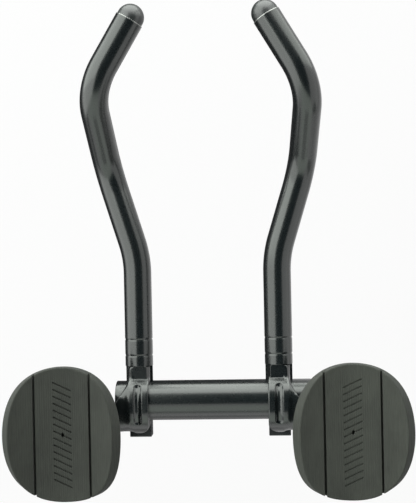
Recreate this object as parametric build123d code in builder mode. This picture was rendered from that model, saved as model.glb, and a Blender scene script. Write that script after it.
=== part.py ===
"""A pair of aero handlebar extensions on a short cross bar, with cupped forearm rests.

The origin is on the bar's axis, half way between the extensions. X runs along the bar to the
rider's right, Y points forward and Z up. The right-hand pieces are modelled, and the left-hand
ones are their mirror images.
"""

import math
import os

from build123d import *

os.makedirs("parts", exist_ok=True)

# Cross bar
bar_diameter = 31.8
bar_wall = 2.4
bar_length = 156.5
bar_shift = 3.6
bar_edge = 0.5

# Extension tubes
extension_spacing = 112.6
tube_diameter = 22.2
tube_wall = 1.8
splay_bend_y = 115.7
rise_bend_y = 185.0
rise_bend_outward = 21.4
crest_y = 245.0
crest_outward = 27.4
rise_height = 50.0
tip_y = 297.7
tip_outward = -4.0
splay_bend_radius = 87.0
rise_bend_radius = 50.0
crest_bend_radius = 45.0
ring_mark_gaps = (8.3, 21.2)
ring_mark_width = 0.9
ring_mark_depth = 0.35

# End plugs
plug_undersize = 0.6
plug_shoulder = 1.9
plug_depth = 16.0
plug_clearance = 0.1

# Clamps
clamp_width = 17.5
clamp_wall = 4.6
clamp_rear_stretch = 6.2
clamp_clearance = 0.05
clamp_split = 1.0
neck_undersize = 0.3
neck_length = 12.6
tongue_width = 18.0
tongue_height = 13.0
tongue_shoulder = 5.5
tongue_flat = 10.0
tongue_round = 2.5
tongue_blend = 2.0
tongue_edge = 1.6
lug_overhang = 0.25
lug_trim = 0.9
lug_projection = 1.8
groove_width = 6.6
groove_depth = 1.8
groove_front = 14.5
groove_rear = 17.5
rear_block_margin = 8.6
rear_block_height = 11.5
rear_block_edge = 0.8
spigot_length = 30.0
spigot_clearance = 0.15
spigot_edge = 1.0
clamp_edge = 0.9

# Wing of the upper clamp, which carries the forearm rest
wing_step = 0.8
wing_front_root = 14.5
wing_front = -8.0
wing_sweep = 14.0
wing_root_blend = 4.0
wing_front_blend = 8.0
wing_depth = 13.0
wing_seat_length = 42.0
wing_corner = 5.0

# Clamp screws and their washers
screw_diameter = 5.0
screw_hole_clearance = 0.25
thread_clearance = 0.05
thread_depth = 6.5
thread_end_gap = 0.6
cap_head_diameter = 8.5
cap_head_height = 5.0
hex_key = 4.0
hex_depth = 2.6
screw_edge = 0.4
washer_diameter = 9.0
washer_thickness = 1.0
spot_face_clearance = 0.3
spot_face_depth = 2.4
front_screw_gap = 6.8
rear_screw_gap = 5.4

# Forearm rests
rest_spacing = 225.0
rest_length = 105.0
rest_width = 93.5
rest_centre_y = -21.0
rest_corner = 0.552
rest_slim_corner = 0.52
rest_full_corner = 0.64
cup_radius = 68.0
pad_thickness = 10.0
pad_groove_offset = 21.8
pad_groove_width = 1.8
pad_groove_depth = 6.0
pad_vent_width = 2.4
pad_vent_length = 4.4
pad_vent_depth = 5.0
pad_rib_count = 15
pad_rib_pitch = 5.4
pad_rib_length = 16.0
pad_rib_width = 1.2
pad_rib_depth = 1.0
pad_rib_slant = 25.0
pad_edge = 1.0
patch_thickness = 1.4
patch_width = 52.0
patch_length = 74.0
patch_corner = 8.0
layer_gap = 0.1
tray_wall = 3.0
tray_inset = 4.0
boss_height = 3.0
boss_pocket = 1.0

# Forearm rest screws
pan_head_diameter = 9.5
rest_washer_diameter = 10.0
pan_head_height = 2.5
pan_head_crown = 0.8
rest_screw_length = 13.0
rest_screw_spacing = 24.0
pocket_clearance = 0.3

# Sizes that follow from the ones above
bar_radius = bar_diameter / 2
tube_radius = tube_diameter / 2
tube_bore_radius = tube_radius - tube_wall
extension_x = extension_spacing / 2
seat_radius = bar_radius + clamp_clearance
saddle_radius = bar_radius + clamp_wall
wing_radius = saddle_radius - wing_step
half_split = clamp_split / 2
half_width = clamp_width / 2
neck_radius = tube_radius - neck_undersize
neck_front = bar_radius + neck_length
screw_radius = screw_diameter / 2
screw_hole_radius = screw_radius + screw_hole_clearance
thread_radius = screw_radius + thread_clearance
washer_radius = washer_diameter / 2
spot_face_radius = washer_radius + spot_face_clearance
front_screw_y = bar_radius + front_screw_gap
rear_screw_y = -bar_radius - rear_screw_gap
rear_block_reach = rear_block_margin - rear_screw_y
lug_radius = half_width + lug_overhang
lug_reach = saddle_radius + clamp_rear_stretch - lug_trim
front_seat_z = spot_face_depth - neck_radius
rear_seat_z = -half_split - rear_block_height
rest_x = rest_spacing / 2
wing_end_x = rest_x + wing_seat_length / 2
wing_rear = lug_projection - lug_reach
wing_mid_y = (wing_front + wing_rear) / 2
boss_width = wing_seat_length - 2 * wing_corner
boss_length = wing_front - wing_rear
pad_back_radius = cup_radius + pad_thickness
loop_front_radius = pad_back_radius + layer_gap
loop_back_radius = loop_front_radius + patch_thickness
hook_front_radius = loop_back_radius + layer_gap
hook_back_radius = hook_front_radius + patch_thickness
tray_front_radius = hook_back_radius + layer_gap
tray_back_radius = tray_front_radius + tray_wall
cup_axis_z = saddle_radius + boss_height + tray_back_radius
pocket_floor_z = saddle_radius + boss_height - boss_pocket
rest_washer_radius = rest_washer_diameter / 2
pocket_radius = rest_washer_radius + pocket_clearance
rest_screw_places = [
    (rest_x - rest_screw_spacing / 2, wing_mid_y),
    (rest_x + rest_screw_spacing / 2, wing_mid_y),
]

LOW = (Align.CENTER, Align.CENTER, Align.MIN)
HIGH = (Align.CENTER, Align.CENTER, Align.MAX)
ALONG_Y = (90, 0, 0)


def save(piece, name):
    """Write one finished piece under its own name."""
    piece.part.label = name
    export_step(piece.part, f"parts/{name}.step")


def save_pair(piece, name):
    """Write a right-hand piece and its left-hand mirror image."""
    save(piece, f"right_{name}")
    with BuildPart() as twin:
        mirror(piece.part, about=Plane.YZ)
    save(twin, f"left_{name}")


def cap_screw(seat, shank_length):
    """Socket cap screw that points up, with the underside of its head at seat."""
    with BuildPart(Plane(seat)) as screw:
        Cylinder(screw_radius, shank_length, align=LOW)
        chamfer(screw.edges().sort_by(Axis.Z)[-1], screw_edge)
        Cylinder(cap_head_diameter / 2, cap_head_height, align=HIGH)
        chamfer(screw.edges().sort_by(Axis.Z)[0], screw_edge)
        with BuildSketch(Plane(seat).offset(-cap_head_height)):
            RegularPolygon(hex_key / 2, 6, major_radius=False)
        extrude(amount=hex_depth, mode=Mode.SUBTRACT)
    return screw


def flat_washer(seat):
    """Flat washer whose upper face is at seat."""
    with BuildPart(Plane(seat)) as washer:
        Cylinder(washer_radius, washer_thickness, align=HIGH)
        Cylinder(screw_hole_radius, washer_thickness, align=HIGH, mode=Mode.SUBTRACT)
    return washer


def rest_outline(half_width_here, half_length):
    """Forearm rest seen from above: an oval, slimmer at its inner front and fuller at its inner rear."""
    quarters = (
        (1, 1, rest_corner),
        (-1, 1, rest_slim_corner),
        (-1, -1, rest_full_corner),
        (1, -1, rest_corner),
    )
    for side, end, corner in quarters:
        across = side * half_width_here
        along = end * half_length
        Bezier((across, 0), (across, corner * along), (corner * across, along), (0, along))


def cup_wedge(width_at_back, back_radius, length):
    """Solid under the cup's axis whose walls all point at that axis."""
    spread = math.tan(math.asin(width_at_back / 2 / back_radius))
    low_drop = back_radius + tray_wall
    high_drop = back_radius / 2
    with BuildPart() as wedge:
        for drop in (low_drop, high_drop):
            with BuildSketch(Plane((rest_x, rest_centre_y, cup_axis_z - drop))):
                with BuildLine():
                    rest_outline(spread * drop, length / 2)
                make_face()
        loft(ruled=True)
    return wedge


# Cross bar: a plain tube, open at both ends
with BuildPart() as cross_bar:
    with BuildSketch(Plane.YZ.offset(bar_shift - bar_length / 2)):
        Circle(bar_radius)
        Circle(bar_radius - bar_wall, mode=Mode.SUBTRACT)
    extrude(amount=bar_length)
    chamfer(cross_bar.edges().filter_by(GeomType.CIRCLE), bar_edge)
save(cross_bar, "cross_bar")

# Extension tube: straight from the clamp, splayed out, up the rise and in at the tip
tube_rear = Vector(extension_x, neck_front, 0)
splay_bend = Vector(extension_x, splay_bend_y, 0)
rise_bend = Vector(extension_x + rise_bend_outward, rise_bend_y, 0)
crest_bend = Vector(extension_x + crest_outward, crest_y, rise_height)
tube_tip = Vector(extension_x + tip_outward, tip_y, rise_height)
with BuildPart() as extension_tube:
    with BuildLine():
        FilletPolyline(
            (tube_rear, splay_bend, rise_bend, crest_bend, tube_tip),
            radius=(splay_bend_radius, rise_bend_radius, crest_bend_radius),
        )
    with BuildSketch(Plane(tube_rear, z_dir=(0, 1, 0))):
        Circle(tube_radius)
        Circle(tube_bore_radius, mode=Mode.SUBTRACT)
    sweep()
    for ring_mark_gap in ring_mark_gaps:
        with BuildSketch(Plane.XY):
            with Locations((extension_x + tube_radius, neck_front + ring_mark_gap)):
                Rectangle(2 * ring_mark_depth, ring_mark_width)
        revolve(axis=Axis(tube_rear, (0, 1, 0)), mode=Mode.SUBTRACT)
save_pair(extension_tube, "extension_tube")

# End plug: a stem inside the tube, a short shoulder and a round dome
plug_radius = tube_radius - plug_undersize
stem_radius = tube_bore_radius - plug_clearance
tip_axis = Axis(tube_tip, tube_tip - crest_bend)
with BuildPart() as extension_plug:
    with BuildSketch(Plane(tube_tip, x_dir=tip_axis.direction.cross(Vector(0, 0, 1)), z_dir=(0, 0, 1))):
        with BuildLine():
            Polyline(
                (0, plug_shoulder + plug_radius),
                (0, -plug_depth),
                (stem_radius, -plug_depth),
                (stem_radius, 0),
                (plug_radius, 0),
                (plug_radius, plug_shoulder),
            )
            CenterArc((0, plug_shoulder), plug_radius, 0, 90)
        make_face()
    revolve(axis=tip_axis)
save_pair(extension_plug, "extension_plug")

# Tool for the scooped groove on the saddle: a ball that is moved along it and dips in by an even depth
groove_ball = (groove_width**2 / 4 + groove_depth**2) / (2 * groove_depth)
groove_path_radius = saddle_radius - groove_depth + groove_ball
ball_reach = math.acos(
    (saddle_radius**2 + groove_path_radius**2 - groove_ball**2) / (2 * saddle_radius * groove_path_radius)
)
groove_front_turn = math.degrees(math.asin(groove_front / saddle_radius) - ball_reach)
groove_rear_turn = math.degrees(math.asin((groove_rear - clamp_rear_stretch) / saddle_radius) - ball_reach)
with BuildPart() as groove_tool:
    with BuildLine(Plane.YZ.offset(extension_x)) as groove_path:
        CenterArc((0, 0), groove_path_radius, 90 - groove_front_turn, groove_front_turn)
        Line((0, groove_path_radius), (-clamp_rear_stretch, groove_path_radius))
        CenterArc((-clamp_rear_stretch, 0), groove_path_radius, 90, groove_rear_turn)
    with BuildSketch(Plane(groove_path.line @ 0, z_dir=groove_path.line % 0)):
        Circle(groove_ball)
    sweep()
    with Locations(groove_path.line @ 0, groove_path.line @ 1):
        Sphere(groove_ball)

# Wing of the upper clamp: a little lower than the saddle, swept back and rounded at its tips
lug_drop = lug_radius - lug_projection
lug_corner = Vector(extension_x + math.sqrt(lug_radius**2 - lug_drop**2), wing_rear)
front_corner = Vector(extension_x + half_width, wing_front_root)
sweep_corner = front_corner + Vector(wing_sweep, wing_front - wing_front_root)
with BuildPart() as wing:
    with BuildSketch(Plane.YZ.offset(extension_x)):
        with Locations((-clamp_rear_stretch / 2, 0)):
            SlotCenterToCenter(clamp_rear_stretch, 2 * wing_radius)
    extrude(amount=wing_end_x - extension_x)
    with BuildSketch(Plane.XY) as wing_plan:
        with Locations((extension_x, lug_radius - lug_reach)):
            Circle(lug_radius)
        with BuildLine():
            Polyline(
                (extension_x, saddle_radius),
                (extension_x + half_width, saddle_radius),
                front_corner,
                sweep_corner,
                (wing_end_x, wing_front),
                (wing_end_x, wing_rear),
                (extension_x, wing_rear),
                close=True,
            )
        make_face()
        fillet(wing_plan.vertices().group_by(Axis.X)[-1], wing_corner)
        for corner, blend in (
            (front_corner, wing_front_blend),
            (sweep_corner, wing_root_blend),
            (lug_corner, wing_root_blend),
        ):
            fillet(wing_plan.vertices().sort_by_distance(corner)[0], blend)
    extrude(amount=2 * saddle_radius, both=True, mode=Mode.INTERSECT)
    outer_edges = wing.edges() - wing.edges().group_by(Axis.X)[0]
    fillet([rim for rim in outer_edges if min((rim @ 0).Z, (rim @ 1).Z) > half_split], clamp_edge)

# Upper clamp: saddle over the bar with its wing to the side, lug behind and tongue in front
tongue_root = bar_radius - clamp_wall
tongue_corner = Vector(extension_x, math.sqrt(saddle_radius**2 - tongue_height**2), tongue_height)
with BuildPart() as upper_clamp:
    with BuildSketch(Plane.YZ.offset(extension_x - half_width)):
        with Locations((-clamp_rear_stretch / 2, 0)):
            SlotCenterToCenter(clamp_rear_stretch, 2 * saddle_radius)
    extrude(amount=clamp_width)
    with BuildSketch(Plane.XY):
        with Locations((extension_x, 0)):
            Rectangle(clamp_width, lug_reach - lug_radius, align=(Align.CENTER, Align.MAX))
            Rectangle(clamp_width, saddle_radius, align=(Align.CENTER, Align.MIN))
        with Locations((extension_x, lug_radius - lug_reach)):
            Circle(lug_radius)
    extrude(amount=2 * saddle_radius, both=True, mode=Mode.INTERSECT)
    upper_rims = [rim for rim in upper_clamp.edges() if min((rim @ 0).Z, (rim @ 1).Z) > half_split]
    fillet(upper_rims, clamp_edge)
    add(wing.part)
    with BuildSketch(Plane.XZ.offset(-tongue_root)) as tongue_section:
        with BuildLine():
            Polyline(
                (extension_x - tongue_width / 2, -tongue_shoulder),
                (extension_x - tongue_width / 2, tongue_shoulder),
                (extension_x - tongue_flat / 2, tongue_height),
                (extension_x + tongue_flat / 2, tongue_height),
                (extension_x + tongue_width / 2, tongue_shoulder),
                (extension_x + tongue_width / 2, -tongue_shoulder),
                close=True,
            )
        make_face()
        fillet(tongue_section.vertices().group_by(Axis.Y)[-1], tongue_round)
    extrude(amount=tongue_root - neck_front)
    fillet(upper_clamp.edges().group_by(Axis.Y)[-1], tongue_edge)
    fillet(upper_clamp.edges().sort_by_distance(tongue_corner)[0], tongue_blend)
    with Locations((rest_x, wing_mid_y, saddle_radius)):
        Box(boss_width, boss_length, wing_depth, align=HIGH)
    add(groove_tool.part, mode=Mode.SUBTRACT)
    with Locations((rest_x / 2, 0, 0)):
        Cylinder(seat_radius, 2 * rest_x, rotation=(0, 90, 0), mode=Mode.SUBTRACT)
    with Locations((rest_x / 2, 0, half_split)):
        Box(2 * rest_x, 4 * saddle_radius, 2 * saddle_radius, align=HIGH, mode=Mode.SUBTRACT)
    with Locations((extension_x + half_width, 0, wing_radius - wing_depth)):
        Box(
            rest_spacing,
            4 * saddle_radius,
            2 * saddle_radius,
            align=(Align.MIN, Align.CENTER, Align.MAX),
            mode=Mode.SUBTRACT,
        )
    with Locations((extension_x, front_screw_y, half_split), (extension_x, rear_screw_y, half_split)):
        Cylinder(thread_radius, thread_depth + thread_end_gap, align=LOW, mode=Mode.SUBTRACT)
    with Locations(*rest_screw_places):
        Cylinder(thread_radius, 2 * saddle_radius, align=LOW, mode=Mode.SUBTRACT)
save_pair(upper_clamp, "upper_clamp")

# Lower clamp: half saddle under the bar, neck and spigot in front, square block behind
with BuildPart() as lower_clamp:
    with BuildSketch(Plane.YZ.offset(extension_x - half_width)):
        Circle(saddle_radius)
    extrude(amount=clamp_width)
    with Locations((extension_x, -rear_block_reach, -half_split)):
        Box(
            clamp_width,
            rear_block_reach,
            rear_block_height,
            align=(Align.CENTER, Align.MIN, Align.MAX),
        )
    fillet(lower_clamp.edges().group_by(Axis.Y)[0], rear_block_edge)
    with BuildSketch(Plane.XZ):
        with Locations((extension_x, 0)):
            Circle(neck_radius)
    extrude(amount=-neck_front)
    with Locations((extension_x, 0, -half_split)):
        Box(4 * half_width, 4 * neck_front, 2 * saddle_radius, align=LOW, mode=Mode.SUBTRACT)
    with BuildSketch(Plane.XZ.offset(-neck_front)):
        with Locations((extension_x, 0)):
            Circle(tube_bore_radius - spigot_clearance)
    extrude(amount=-spigot_length)
    chamfer(lower_clamp.edges().sort_by(Axis.Y)[-1], spigot_edge)
    with Locations((extension_x, 0, 0)):
        Cylinder(seat_radius, 2 * clamp_width, rotation=(0, 90, 0), mode=Mode.SUBTRACT)
    with Locations((extension_x, front_screw_y), (extension_x, rear_screw_y)):
        Cylinder(screw_hole_radius, 2 * saddle_radius, align=HIGH, mode=Mode.SUBTRACT)
    with Locations((extension_x, front_screw_y, front_seat_z)):
        Cylinder(spot_face_radius, saddle_radius, align=HIGH, mode=Mode.SUBTRACT)
    with Locations((extension_x, rear_screw_y, rear_seat_z)):
        Cylinder(spot_face_radius, saddle_radius, align=HIGH, mode=Mode.SUBTRACT)
save_pair(lower_clamp, "lower_clamp")

# Clamp screws with their washers, put in from below
for place, screw_y, seat_z in (
    ("front", front_screw_y, front_seat_z),
    ("rear", rear_screw_y, rear_seat_z),
):
    washer_seat = Vector(extension_x, screw_y, seat_z)
    screw_seat = washer_seat - Vector(0, 0, washer_thickness)
    save_pair(flat_washer(washer_seat), f"{place}_clamp_washer")
    save_pair(cap_screw(screw_seat, half_split + thread_depth - screw_seat.Z), f"{place}_clamp_bolt")

# Forearm rest tray: a moulded cup with a boss that stands on the wing
tray_width = rest_width - 2 * tray_inset
tray_length = rest_length - 2 * tray_inset
boss_top_z = cup_axis_z - math.sqrt(tray_back_radius**2 - boss_width**2 / 4) + tray_wall / 2
tray_wedge = cup_wedge(tray_width, tray_back_radius, tray_length)
with BuildPart() as armrest_tray:
    add(tray_wedge.part)
    with Locations((rest_x, rest_centre_y, cup_axis_z)):
        Cylinder(tray_back_radius, 2 * rest_length, rotation=ALONG_Y, mode=Mode.INTERSECT)
    with Locations((rest_x, wing_mid_y, saddle_radius)):
        Box(boss_width, boss_length, boss_top_z - saddle_radius, align=LOW)
    with Locations((rest_x, rest_centre_y, cup_axis_z)):
        Cylinder(tray_front_radius, 2 * rest_length, rotation=ALONG_Y, mode=Mode.SUBTRACT)
    with Locations(*rest_screw_places):
        Cylinder(screw_hole_radius, cup_axis_z, align=LOW, mode=Mode.SUBTRACT)
    with Locations(*[(x, y, pocket_floor_z) for x, y in rest_screw_places]):
        Cylinder(pocket_radius, tray_front_radius, align=LOW, mode=Mode.SUBTRACT)
save_pair(armrest_tray, "armrest_tray")

# Forearm rest screws and washers, sunk in the tray's pockets
with BuildPart() as armrest_washers:
    with Locations(*[(x, y, pocket_floor_z) for x, y in rest_screw_places]):
        Cylinder(rest_washer_radius, washer_thickness, align=LOW)
        Cylinder(screw_hole_radius, washer_thickness, align=LOW, mode=Mode.SUBTRACT)
save_pair(armrest_washers, "armrest_washers")

pan_seat_z = pocket_floor_z + washer_thickness
with BuildPart() as armrest_screws:
    with Locations(*[(x, y, pan_seat_z) for x, y in rest_screw_places]):
        Cylinder(screw_radius, rest_screw_length, align=HIGH)
        Cylinder(pan_head_diameter / 2, pan_head_height, align=LOW)
    fillet(armrest_screws.edges().group_by(Axis.Z)[-1], pan_head_crown)
    chamfer(armrest_screws.edges().group_by(Axis.Z)[0], screw_edge)
    for x, y in rest_screw_places:
        with BuildSketch(Plane((x, y, pan_seat_z + pan_head_height))):
            RegularPolygon(hex_key / 2, 6, major_radius=False)
        extrude(amount=-pan_head_height / 2, mode=Mode.SUBTRACT)
save_pair(armrest_screws, "armrest_screws")

# Hook and loop patches between tray and pad
for patch_name, front_radius, back_radius in (
    ("hook_patch", hook_front_radius, hook_back_radius),
    ("loop_patch", loop_front_radius, loop_back_radius),
):
    with BuildPart() as patch:
        with BuildSketch(Plane((rest_x, rest_centre_y, cup_axis_z - tray_back_radius))):
            RectangleRounded(patch_width, patch_length, patch_corner)
        extrude(amount=tray_back_radius / 2)
        with Locations((rest_x, rest_centre_y, cup_axis_z)):
            Cylinder(back_radius, 2 * rest_length, rotation=ALONG_Y, mode=Mode.INTERSECT)
            Cylinder(front_radius, 2 * rest_length, rotation=ALONG_Y, mode=Mode.SUBTRACT)
    save_pair(patch, patch_name)

# Pad: a cupped slab of foam with two deep bending grooves, a row of slanted grip grooves and a vent
groove_angle = math.asin(pad_groove_offset / cup_radius)
groove_z = cup_axis_z - cup_radius * math.cos(groove_angle)
pad_face_z = cup_axis_z - cup_radius
pad_wedge = cup_wedge(rest_width, pad_back_radius, rest_length)
with BuildPart() as armrest_pad:
    add(pad_wedge.part)
    with Locations((rest_x, rest_centre_y, cup_axis_z)):
        Cylinder(pad_back_radius, 2 * rest_length, rotation=ALONG_Y, mode=Mode.INTERSECT)
        Cylinder(cup_radius, 2 * rest_length, rotation=ALONG_Y, mode=Mode.SUBTRACT)
    fillet(armrest_pad.edges(), pad_edge)
    with BuildSketch(Plane.XZ.offset(-rest_centre_y)):
        with Locations((rest_x - pad_groove_offset, groove_z), (rest_x + pad_groove_offset, groove_z)):
            SlotOverall(2 * pad_groove_depth, pad_groove_width, rotation=90)
    extrude(amount=rest_length, both=True, mode=Mode.SUBTRACT)
    with BuildSketch(Plane((rest_x, rest_centre_y, pad_face_z - pad_rib_depth))):
        with GridLocations(pad_rib_length, pad_rib_pitch, 1, pad_rib_count):
            SlotOverall(pad_rib_length, pad_rib_width, rotation=pad_rib_slant)
    extrude(amount=pad_thickness, mode=Mode.SUBTRACT)
    with BuildSketch(Plane((rest_x, rest_centre_y, pad_face_z - pad_vent_depth))):
        SlotOverall(pad_vent_length, pad_vent_width, rotation=90)
    extrude(amount=pad_thickness, mode=Mode.SUBTRACT)
save_pair(armrest_pad, "armrest_pad")
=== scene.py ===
"""Looks of the aero handlebar extension, laid out as an add-on and run as a script."""

import math

import bmesh
import bpy
from mathutils import Matrix, Vector


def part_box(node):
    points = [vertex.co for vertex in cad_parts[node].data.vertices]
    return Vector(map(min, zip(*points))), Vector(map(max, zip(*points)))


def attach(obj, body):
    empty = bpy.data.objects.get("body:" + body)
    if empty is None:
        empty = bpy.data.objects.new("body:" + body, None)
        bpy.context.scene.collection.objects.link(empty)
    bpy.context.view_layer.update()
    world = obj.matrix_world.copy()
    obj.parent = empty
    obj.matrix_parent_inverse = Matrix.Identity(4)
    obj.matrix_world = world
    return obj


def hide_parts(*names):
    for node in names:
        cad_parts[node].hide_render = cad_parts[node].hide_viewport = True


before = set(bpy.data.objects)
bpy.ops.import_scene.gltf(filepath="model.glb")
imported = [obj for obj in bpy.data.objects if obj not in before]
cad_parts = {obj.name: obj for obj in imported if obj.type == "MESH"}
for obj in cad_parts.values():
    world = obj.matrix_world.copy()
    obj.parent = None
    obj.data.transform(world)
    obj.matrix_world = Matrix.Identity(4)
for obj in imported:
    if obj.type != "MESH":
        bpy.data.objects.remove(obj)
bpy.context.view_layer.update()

bl_info = {
    "name": "Aero handlebar extension",
    "version": (1, 0, 0),
    "blender": (4, 5, 0),
    "location": "3D View > Sidebar > Aero bar",
    "description": "Tubes, clamps and forearm pads around a packed frame, with a studio stage",
    "category": "Object",
}

MM = 0.001
SIDES = (("right", 1), ("left", -1))
BODY = "root"

BAR_LOW, BAR_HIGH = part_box("cross_bar")
TUBE_LOW, TUBE_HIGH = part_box("right_extension_tube")
PAD_LOW, PAD_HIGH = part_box("right_armrest_pad")
BOLT_LOW, BOLT_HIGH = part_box("right_front_clamp_bolt")


def linear(hex_colour):
    """Turn an sRGB hex colour into linear red, green and blue."""
    channels = [int(hex_colour[i : i + 2], 16) / 255 for i in (1, 3, 5)]
    return [c / 12.92 if c <= 0.04045 else ((c + 0.055) / 1.055) ** 2.4 for c in channels]


def length(name, description, default):
    """A property that holds a size in metres."""
    return bpy.props.FloatProperty(
        name=name, description=description, default=default, unit="LENGTH", precision=5
    )


def point(name, description, default):
    """A property that holds a place in metres."""
    return bpy.props.FloatVectorProperty(
        name=name, description=description, default=default, subtype="TRANSLATION", unit="LENGTH"
    )


def colour(name, description, hex_colour):
    """A property that holds a surface colour."""
    return bpy.props.FloatVectorProperty(
        name=name, description=description, default=linear(hex_colour), subtype="COLOR", min=0, max=1
    )


def tilt(name, description, degrees):
    """A property that holds a turn, given here in degrees."""
    return bpy.props.FloatProperty(
        name=name, description=description, default=math.radians(degrees), subtype="ANGLE"
    )


def power(name, description, watts):
    """A property that holds a lamp's power."""
    return bpy.props.FloatProperty(name=name, description=description, default=watts, unit="POWER")


class TubeSizes(bpy.types.PropertyGroup):
    """Sizes of the cross bar, the bent extension tubes and their end plugs."""

    bar_diameter: length("Bar diameter", "Outside of the cross bar", BAR_HIGH.y - BAR_LOW.y)
    bar_wall: length("Bar wall", "Wall of the cross bar", 2.4 * MM)
    bar_edge: length("Bar edge", "Broken edge at the ends of the bar", 0.5 * MM)
    tube_diameter: length("Tube diameter", "Outside of an extension tube", 22.2 * MM)
    tube_wall: length("Tube wall", "Wall of an extension tube", 1.8 * MM)
    tube_edge: length("Tube edge", "Broken edge at the ends of tubes and plugs", 0.3 * MM)
    front_edge: length("Front edge", "Bare edge at the front end of a tube", 0.66 * MM)
    rear: point("Rear end", "Where the right tube meets its clamp", (56.3 * MM, TUBE_LOW.y, 0))
    splay: point("Splay bend", "Corner where the tube turns outwards", (56.3 * MM, 115.7 * MM, 0))
    rise: point("Rise bend", "Corner where the tube turns upwards", (77.7 * MM, 185 * MM, 0))
    crest: point("Crest bend", "Corner where the tube levels out", (83.7 * MM, 245 * MM, 50 * MM))
    tip: point("Tip", "Front end of the right tube", (52.3 * MM, 297.7 * MM, 50 * MM))
    splay_radius: length("Splay radius", "Bend radius at the splay", 87 * MM)
    rise_radius: length("Rise radius", "Bend radius at the rise", 50 * MM)
    crest_radius: length("Crest radius", "Bend radius at the crest", 45 * MM)
    first_mark: length("First mark", "From the rear end to the first ring mark", 8.3 * MM)
    second_mark: length("Second mark", "From the rear end to the second ring mark", 21.2 * MM)
    mark_width: length("Mark width", "Width of a ring mark", 0.9 * MM)
    mark_depth: length("Mark depth", "Depth of a ring mark", 0.35 * MM)
    plug_radius: length("Plug radius", "Radius of the plug's dome", 10.5 * MM)
    plug_shoulder: length("Plug shoulder", "Straight part in front of the tube", 1.9 * MM)
    plug_stem: length("Plug stem", "Radius of the stem inside the tube", 9.2 * MM)
    plug_depth: length("Plug depth", "Length of the stem inside the tube", 16 * MM)


class ClampSizes(bpy.types.PropertyGroup):
    """Sizes of the forged upper clamps."""

    seam: length("Seam", "From the middle to the joint between saddle and wing", 65.05 * MM)
    blend: length("Blend", "Width of the forged blend to each side of that joint", 5 * MM)
    skin: length("Skin", "How far under the outside the blend reaches", 3 * MM)
    saddle_radius: length("Saddle radius", "Outside of the saddle", 20.5 * MM)
    stretch: length("Stretch", "How far the saddle is drawn out to the rear", 6.2 * MM)
    tongue: length("Tongue", "Height of the flat on the tongue over the bar's axis", 9.8 * MM)
    lower_edge: length("Lower edge", "Rounding of the lower forgings", 0.4 * MM)
    cell: length("Cell", "Width of a mesh cell", 0.4 * MM)
    passes: bpy.props.IntProperty(name="Passes", description="Smoothing passes of the blend", default=60)
    polish: bpy.props.IntProperty(name="Polish", description="Smoothing passes all over", default=3)


class ScrewSizes(bpy.types.PropertyGroup):
    """Sizes of the clamp screws."""

    head_diameter: length("Head diameter", "Across the head", BOLT_HIGH.x - BOLT_LOW.x)
    head_height: length("Head height", "Height of the head", 5 * MM)
    shank_diameter: length("Shank diameter", "Across the shank", 5 * MM)
    hex_key: length("Hex key", "Across the flats of the socket", 4 * MM)
    hex_depth: length("Hex depth", "Depth of the socket", 2.6 * MM)
    knurl_depth: length("Knurl depth", "Depth of the grip on the head", 0.1 * MM)
    screw_edge: length("Screw edge", "Broken edges of head, socket and shank", 0.3 * MM)


class PadSizes(bpy.types.PropertyGroup):
    """Sizes of the moulded forearm pads."""

    centre: point("Centre", "Right pad's middle, at its cup's axis", (112.5 * MM, -21 * MM, 107.6 * MM))
    cup_radius: length("Cup radius", "Radius of the face under the forearm", 68 * MM)
    thickness: length("Thickness", "Foam between face and back", 10 * MM)
    width: length("Width", "Width of the back, seen from above", 93.5 * MM)
    pad_length: length("Length", "Length, seen from above", PAD_HIGH.y - PAD_LOW.y)
    edge: length("Edge", "Radius of the moulded edge", 1 * MM)
    crown: length("Crown", "How far each foam strip swells between the grooves", 0.5 * MM)
    crown_fade: length("Crown fade", "Distance from a groove over which a strip rises", 3 * MM)
    groove_offset: length("Groove offset", "From the middle to a bending groove", 21.8 * MM)
    groove_width: length("Groove width", "Width of a bending groove", 1.8 * MM)
    groove_depth: length("Groove depth", "Depth of a bending groove", 6 * MM)
    rib_count: bpy.props.IntProperty(name="Rib count", description="Slanted grip grooves", default=15)
    rib_pitch: length("Rib pitch", "From one grip groove to the next", 5.4 * MM)
    rib_length: length("Rib length", "Length of a grip groove", 16 * MM)
    rib_width: length("Rib width", "Width of a grip groove", 1.2 * MM)
    rib_depth: length("Rib depth", "Depth of a grip groove", 1 * MM)
    rib_slant: tilt("Rib slant", "Turn of a grip groove", 25)
    vent_width: length("Vent width", "Width of the vent", 2.4 * MM)
    vent_length: length("Vent length", "Length of the vent", 4.4 * MM)
    vent_depth: length("Vent depth", "Depth of the vent", 5 * MM)


class Finishes(bpy.types.PropertyGroup):
    """Colours of the materials."""

    enamel: colour("Enamel", "Gloss black on tubes, bar and clamps", "#0B1113")
    alloy: colour("Alloy", "Bare metal at the front edges of the tubes", "#B8BAB6")
    plug: colour("Plug", "Moulded end plugs", "#1C2120")
    steel: colour("Steel", "Black oxide on the screws", "#2B2C2E")
    nylon: colour("Nylon", "Moulded trays", "#1B1C1A")
    tape: colour("Tape", "Hook and loop patches", "#161616")
    foam: colour("Foam", "Moulded forearm pads", "#3D403A")
    floor: colour("Floor", "Paper on the studio floor", "#F4F4F4")


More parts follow.
